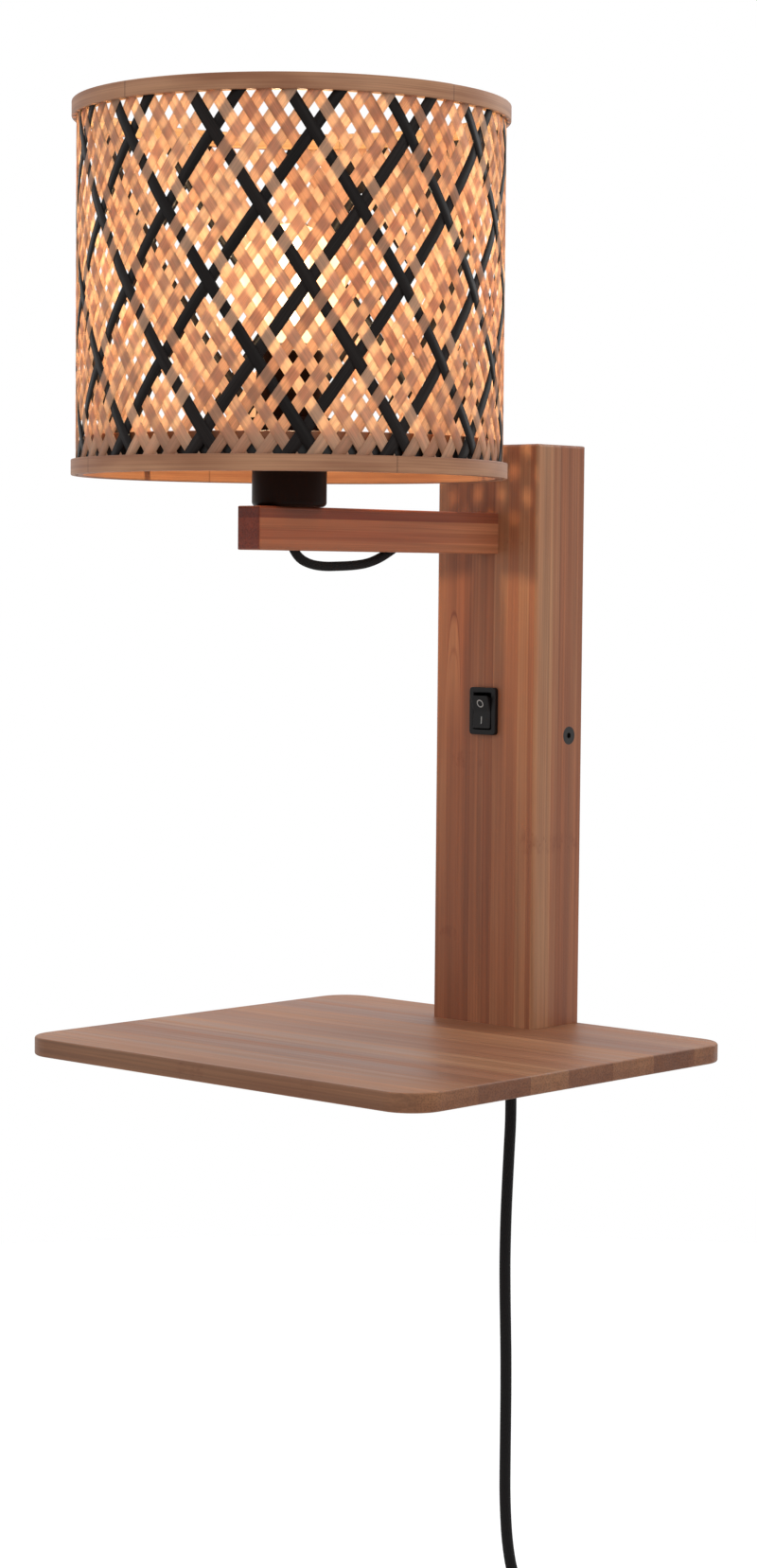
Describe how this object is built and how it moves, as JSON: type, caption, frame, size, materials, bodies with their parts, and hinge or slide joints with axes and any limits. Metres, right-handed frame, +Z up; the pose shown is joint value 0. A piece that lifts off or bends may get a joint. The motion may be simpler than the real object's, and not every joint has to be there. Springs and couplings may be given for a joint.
{
  "type": "wall lamp with shelf",
  "caption": "Wall lamp with a laminated bamboo post, a book shelf below, a short arm and a drum shade woven of natural and black strips, on a plug-in lead.",
  "frame": {"origin": "centre of the wall bracket's two screw holes, on the wall plane behind the post", "axes": "+X to the right seen from the room, +Y into the wall, +Z up"},
  "size_m": [0.228, 0.249, 0.7925],
  "materials": {
    "post_bamboo": "clear satin lacquer over edge-laminated bamboo",
    "shelf_bamboo": "clear satin lacquer over laminated bamboo",
    "arm_bamboo": "clear satin lacquer over carbonised bamboo",
    "hoop_bamboo": "bent bamboo band, satin",
    "strip_natural": "split bamboo strip, raw and slightly shiny",
    "strip_black": "split bamboo strip, dyed black",
    "holder_black": "fine matt black",
    "frame_black": "black powder coat",
    "bracket_steel": "bright zinc",
    "screw_steel": "bright zinc",
    "screw_black": "black oxide",
    "contact_brass": "bare brass",
    "bulb_opal": "clear warm glass, lit",
    "cap_nickel": "nickel",
    "tip_black": "black insulator with a soldered tip",
    "switch_black": "semi-gloss black",
    "wire_red": "insulated single wires",
    "inner_ivory": "plain moulded",
    "cord_braid": "black textile braid",
    "relief_black": "soft black",
    "tie_black": "hook-and-loop strap",
    "plug_black": "moulded, slightly textured"
  },
  "bodies": {
    "root": {"post": "post_bamboo", "shelf": "shelf_bamboo", "shelf_screws": "screw_steel", "wall_bracket": "bracket_steel", "bracket_nuts": "screw_steel", "side_screws": "screw_black", "arm": "arm_bamboo", "arm_screw": "screw_steel", "holder_cup": "holder_black", "holder_screws": "screw_steel", "socket_body": "holder_black", "socket_contacts": "contact_brass", "shade_ring": "holder_black", "shade_spider": "frame_black", "hoop_bottom_outer": "hoop_bamboo", "hoop_bottom_inner": "hoop_bamboo", "hoop_keeper": "hoop_bamboo", "hoop_top_outer": "hoop_bamboo", "hoop_top_inner": "hoop_bamboo", "weave_left_natural": "strip_natural", "weave_left_black": "strip_black", "weave_right_natural": "strip_natural", "weave_right_black": "strip_black", "switch_housing": "switch_black", "switch_terminals": "contact_brass", "switch_wires": "wire_red", "terminal_block": "inner_ivory", "cord_clamp": "inner_ivory", "inner_screws": "screw_steel", "arm_cable": "cord_braid", "lead_inside": "cord_braid", "cord_relief": "relief_black", "mains_cord": "cord_braid", "cord_coil": "cord_braid", "cord_tie": "tie_black", "plug_body": "plug_black", "plug_pins": "cap_nickel"},
    "rocker": {"switch_rocker": "switch_black"},
    "bulb_foot": {"bulb_tip": "tip_black"},
    "bulb": {"bulb_glass": "bulb_opal", "bulb_cap": "cap_nickel"}
  },
  "joints": [
    {"name": "rocker_tip", "type": "hinge", "parent": "root", "child": "rocker", "pos_m": [0, -0.0332, 0.0105], "axis": [-1, 0, 0], "range_deg": [0, 15]},
    {"name": "bulb_lift", "type": "slide", "parent": "root", "child": "bulb_foot", "axis": [0, 0, 1], "range_m": [0, 0.0141]},
    {"name": "bulb_turn", "type": "hinge", "parent": "bulb_foot", "child": "bulb", "pos_m": [0, -0.159, 0.1915], "axis": [0, 0, 1], "range_deg": [0, 1800]}
  ],
  "couplings": [
    {"joint": "bulb_turn", "follows": "bulb_lift", "rad_per_m": 2228.1}
  ]
}
